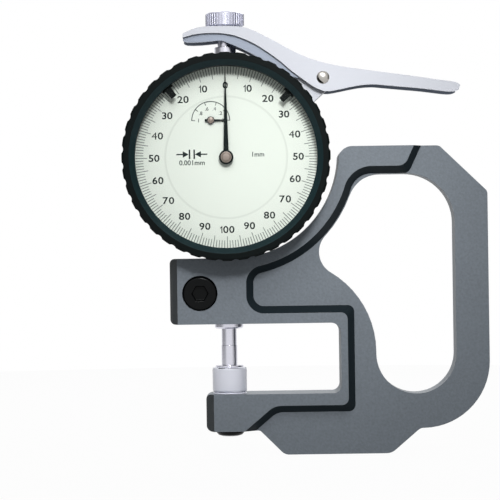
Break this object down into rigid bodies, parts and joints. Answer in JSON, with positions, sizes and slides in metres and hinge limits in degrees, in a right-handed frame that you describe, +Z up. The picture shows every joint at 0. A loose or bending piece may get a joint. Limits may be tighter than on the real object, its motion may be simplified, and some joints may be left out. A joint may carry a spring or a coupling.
{
  "type": "dial thickness gauge",
  "caption": "Hand-held C-frame thickness gauge: round dial indicator clamped over a ceramic contact and anvil, thumb lever above, open handle behind the throat.",
  "frame": {"origin": "middle of the anvil's measuring face, on the spindle axis", "axes": "+Z up the spindle, +X from the spindle to the handle, the dial faces -Y"},
  "size_m": [0.1009, 0.0261, 0.1242],
  "materials": {
    "grey_paint": "sand-textured grey enamel",
    "black_steel": "blackened steel",
    "ceramic": "ground white ceramic",
    "steel": "ground steel",
    "knob_chrome": "satin chrome",
    "case_metal": "satin silver",
    "bush_bronze": "bronze",
    "seal": "black rubber",
    "bezel_black": "moulded black",
    "clear": "clear acrylic",
    "dial_white": "white enamel",
    "black_tab": "moulded black",
    "gilt": "polished brass",
    "jewel": "red jewel",
    "pointer_black": "black lacquer",
    "hub_brown": "bronzed brass",
    "blued_spring": "blued steel",
    "lever_plate": "satin plated steel"
  },
  "bodies": {
    "frame": {"frame_casting": "grey_paint", "clamp_screw": "black_steel", "anvil_disc": "ceramic", "anvil_post": "steel", "anvil_screw": "black_steel", "indicator_case": "case_metal", "stem": "steel", "lower_bush": "bush_bronze", "stem_bush": "bush_bronze", "top_bush": "steel", "back_cover": "case_metal", "back_gasket": "seal", "back_cover_screws": "steel", "dial_centre": "dial_white", "bezel_snap_ring": "steel", "bridge_plate": "gilt", "bridge_pillars": "gilt", "bridge_screws": "steel", "rear_cock": "gilt", "cock_pillars": "gilt", "jewel_bearings": "jewel", "guide_block": "steel", "spring_post": "steel", "return_spring": "steel", "hairspring": "blued_spring", "hairspring_stud": "steel", "lever_pin": "steel", "lever_bracket": "lever_plate", "bracket_screws": "steel"},
    "spindle": {"spindle": "steel", "lift_knob": "knob_chrome", "contact_shank": "steel", "ceramic_contact": "ceramic", "guide_pin": "steel", "spring_pin": "steel"},
    "drive_wheel": {"rack_pinion_arbor": "steel", "drive_gear": "gilt"},
    "intermediate_wheel": {"intermediate_arbor": "steel", "intermediate_gear": "gilt"},
    "pointer": {"centre_arbor": "steel", "main_pointer": "pointer_black", "pointer_hub": "hub_brown"},
    "counter": {"counter_arbor": "steel", "counter_gear": "gilt", "counter_pointer": "pointer_black", "hairspring_collet": "gilt"},
    "bezel": {"bezel": "bezel_black", "crystal": "clear", "spacer_ring": "bezel_black", "dial_ring": "dial_white"},
    "marker_left": {"limit_marker_left": "black_tab"},
    "marker_right": {"limit_marker_right": "black_tab"},
    "lever": {"lift_lever": "lever_plate"}
  },
  "joints": [
    {"name": "spindle_slide", "type": "slide", "parent": "frame", "child": "spindle", "axis": [0, 0, 1], "range_m": [0, 0.001], "stiffness_N_per_m": 100, "springref_m": -0.01, "deforming": ["return_spring"]},
    {"name": "pointer_turn", "type": "hinge", "parent": "frame", "child": "pointer", "pos_m": [0, 0, 0.0652], "axis": [0, 1, 0], "range_deg": [0, 1800]},
    {"name": "drive_wheel_turn", "type": "hinge", "parent": "frame", "child": "drive_wheel", "pos_m": [0.00288, 0, 0.05355], "axis": [0, 1, 0], "range_deg": [0, 45]},
    {"name": "intermediate_wheel_turn", "type": "hinge", "parent": "frame", "child": "intermediate_wheel", "pos_m": [0.00523, 0, 0.06225], "axis": [0, 1, 0], "range_deg": [-360, 0]},
    {"name": "counter_turn", "type": "hinge", "parent": "frame", "child": "counter", "pos_m": [-0.00412, 0, 0.07541], "axis": [0, 1, 0], "range_deg": [-180, 0], "deforming": ["hairspring"]},
    {"name": "lever_pivot", "type": "hinge", "parent": "frame", "child": "lever", "pos_m": [0.0271, 0, 0.0872], "axis": [0, 1, 0], "range_deg": [0, 2.11]},
    {"name": "bezel_turn", "type": "hinge", "parent": "frame", "child": "bezel", "pos_m": [0, 0, 0.0652], "axis": [0, 1, 0], "continuous": true},
    {"name": "marker_left_turn", "type": "hinge", "parent": "bezel", "child": "marker_left", "pos_m": [0, 0, 0.0652], "axis": [0, 1, 0], "range_deg": [-90, 35]},
    {"name": "marker_right_turn", "type": "hinge", "parent": "bezel", "child": "marker_right", "pos_m": [0, 0, 0.0652], "axis": [0, 1, 0], "range_deg": [-35, 90]}
  ],
  "couplings": [
    {"joint": "pointer_turn", "follows": "spindle_slide", "rad_per_m": 31416},
    {"joint": "drive_wheel_turn", "follows": "spindle_slide", "rad_per_m": 785.4},
    {"joint": "intermediate_wheel_turn", "follows": "spindle_slide", "rad_per_m": -6283.2},
    {"joint": "counter_turn", "follows": "spindle_slide", "rad_per_m": -3141.6},
    {"joint": "lever_pivot", "follows": "spindle_slide", "rad_per_m": 36.9}
  ]
}
